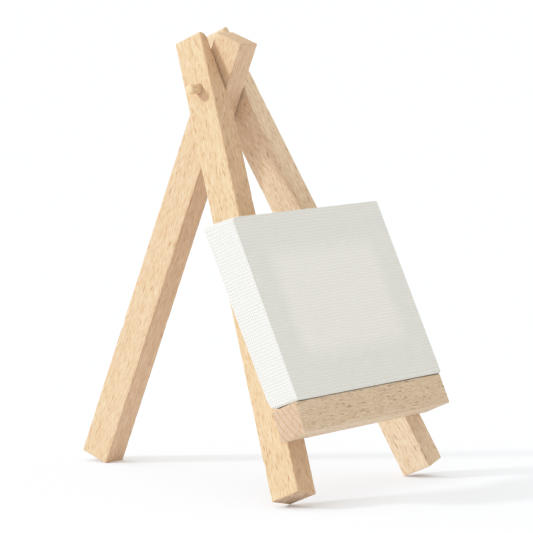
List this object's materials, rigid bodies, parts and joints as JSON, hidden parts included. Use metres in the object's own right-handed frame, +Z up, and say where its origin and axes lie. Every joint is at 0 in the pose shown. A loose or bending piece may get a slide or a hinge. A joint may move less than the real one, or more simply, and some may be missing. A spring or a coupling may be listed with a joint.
{
  "type": "miniature tabletop easel with stretched canvas",
  "caption": "Folding wooden tripod easel, tabletop size, with a ledge and a small blank stretched canvas that lifts off.",
  "frame": {"origin": "on the table, at the middle of the bottom of the outer box, between the three feet", "axes": "+Z up, -Y out of the easel's front, +X to the right as seen from the front"},
  "size_m": [0.0719, 0.0938, 0.12],
  "materials": {
    "beech": "sanded, unfinished beech",
    "dowel_wood": "turned, unfinished beech",
    "stretcher_wood": "sawn, unfinished pine",
    "canvas": "white primed plain weave",
    "wire": "bright wire"
  },
  "bodies": {
    "front_frame": {"left_leg": "beech", "right_leg": "beech", "pivot_dowel": "dowel_wood", "ledge": "beech", "ledge_brads": "wire"},
    "rear_leg": {"rear_leg": "beech"},
    "canvas": {"canvas_cloth": "canvas", "stretcher_top": "stretcher_wood", "stretcher_bottom": "stretcher_wood", "stretcher_left": "stretcher_wood", "stretcher_right": "stretcher_wood", "canvas_staples": "wire"}
  },
  "joints": [
    {"name": "rear_leg_fold", "type": "hinge", "parent": "front_frame", "child": "rear_leg", "pos_m": [0, 0.00512, 0.10381], "axis": [1, 0, 0], "range_deg": [-44, 45]},
    {"name": "canvas_lift", "type": "slide", "parent": "front_frame", "child": "canvas", "axis": [0, 0, 1], "range_m": [0, 0.06]}
  ]
}
